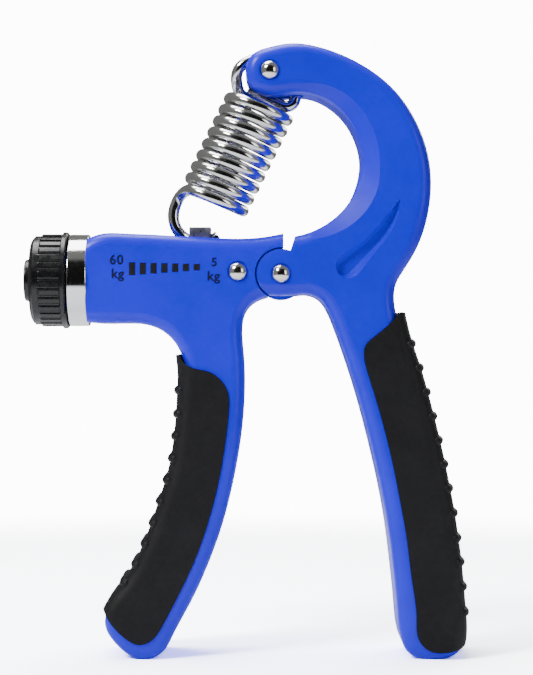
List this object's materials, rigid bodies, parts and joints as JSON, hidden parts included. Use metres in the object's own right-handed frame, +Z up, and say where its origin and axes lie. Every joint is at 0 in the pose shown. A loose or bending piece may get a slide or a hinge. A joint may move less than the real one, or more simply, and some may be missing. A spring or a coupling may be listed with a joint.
{
  "type": "hand grip strengthener",
  "caption": "Two hinged squeeze handles with soft ribbed grips, an extension spring between the curved arm and a screw-set carriage, and a fluted knob that sets the pull.",
  "frame": {"origin": "middle of the footprint, on the surface that the two feet stand on", "axes": "+Z up along the handles, +X from the knob towards the squeezing handle, +Y away from the side with the scale"},
  "size_m": [0.1119, 0.0246, 0.1539],
  "materials": {
    "blue_plastic": "satin moulded ABS, strong blue",
    "black_grip": "matte soft moulded grip",
    "black_plastic": "half-gloss moulded plastic",
    "bright_chrome": "bright plated",
    "spring_chrome": "nickel plated wire",
    "polished_steel": "domed and polished",
    "zinc_steel": "zinc plated",
    "white_nylon": "plain nylon"
  },
  "bodies": {
    "hinge_pin": {"pivot_rivet": "polished_steel", "pivot_washers": "white_nylon"},
    "left_side": {"left_handle": "blue_plastic", "left_grip": "black_grip", "collar_ring": "bright_chrome", "front_bush": "white_nylon", "screw_end_block": "white_nylon", "screw_end_rivet": "polished_steel"},
    "knob_and_screw": {"knob": "black_plastic", "knob_cap": "black_plastic", "knob_screw": "zinc_steel", "adjusting_screw": "zinc_steel", "thrust_washer": "zinc_steel", "retaining_clip": "zinc_steel"},
    "carriage": {"carriage_nut": "zinc_steel", "hook_stirrup": "zinc_steel"},
    "right_side": {"right_handle": "blue_plastic", "right_grip": "black_grip", "spring_rivet": "polished_steel", "spring_sleeve": "zinc_steel"},
    "spring_top": {"spring_upper": "spring_chrome"},
    "spring_tail": {"spring_lower": "spring_chrome"}
  },
  "joints": [
    {"name": "handle_spread", "type": "hinge", "parent": "hinge_pin", "child": "left_side", "pos_m": [0.0089, 0, 0.096], "axis": [0, 1, 0], "range_deg": [0, 15.49]},
    {"name": "knob_turn", "type": "hinge", "parent": "left_side", "child": "knob_and_screw", "pos_m": [-0.0481, 0, 0.0946], "axis": [-1, 0, 0], "range_deg": [-4320.1, 0]},
    {"name": "carriage_slide", "type": "slide", "parent": "left_side", "child": "carriage", "axis": [1, 0, 0], "range_m": [-0.018, 0]},
    {"name": "handle_squeeze", "type": "hinge", "parent": "hinge_pin", "child": "right_side", "pos_m": [0.0089, 0, 0.096], "axis": [0, 1, 0], "range_deg": [0, 34], "stiffness_Nm_per_rad": 5.8},
    {"name": "spring_swing", "type": "hinge", "parent": "right_side", "child": "spring_top", "pos_m": [0.0061, 0, 0.14685], "axis": [0, 1, 0], "range_deg": [0, 22.97]},
    {"name": "spring_stretch", "type": "slide", "parent": "spring_top", "child": "spring_tail", "axis": [-0.3295, 0, -0.9442], "range_m": [0, 0.0148], "deforming": ["spring_upper", "spring_lower"]}
  ],
  "couplings": [
    {"joint": "knob_turn", "follows": "handle_spread", "ratio": -278.89},
    {"joint": "carriage_slide", "follows": "handle_spread", "m_per_rad": -0.06658},
    {"joint": "spring_swing", "follows": "handle_spread", "ratio": 1.4829},
    {"joint": "spring_stretch", "follows": "handle_squeeze", "m_per_rad": 0.024922}
  ]
}
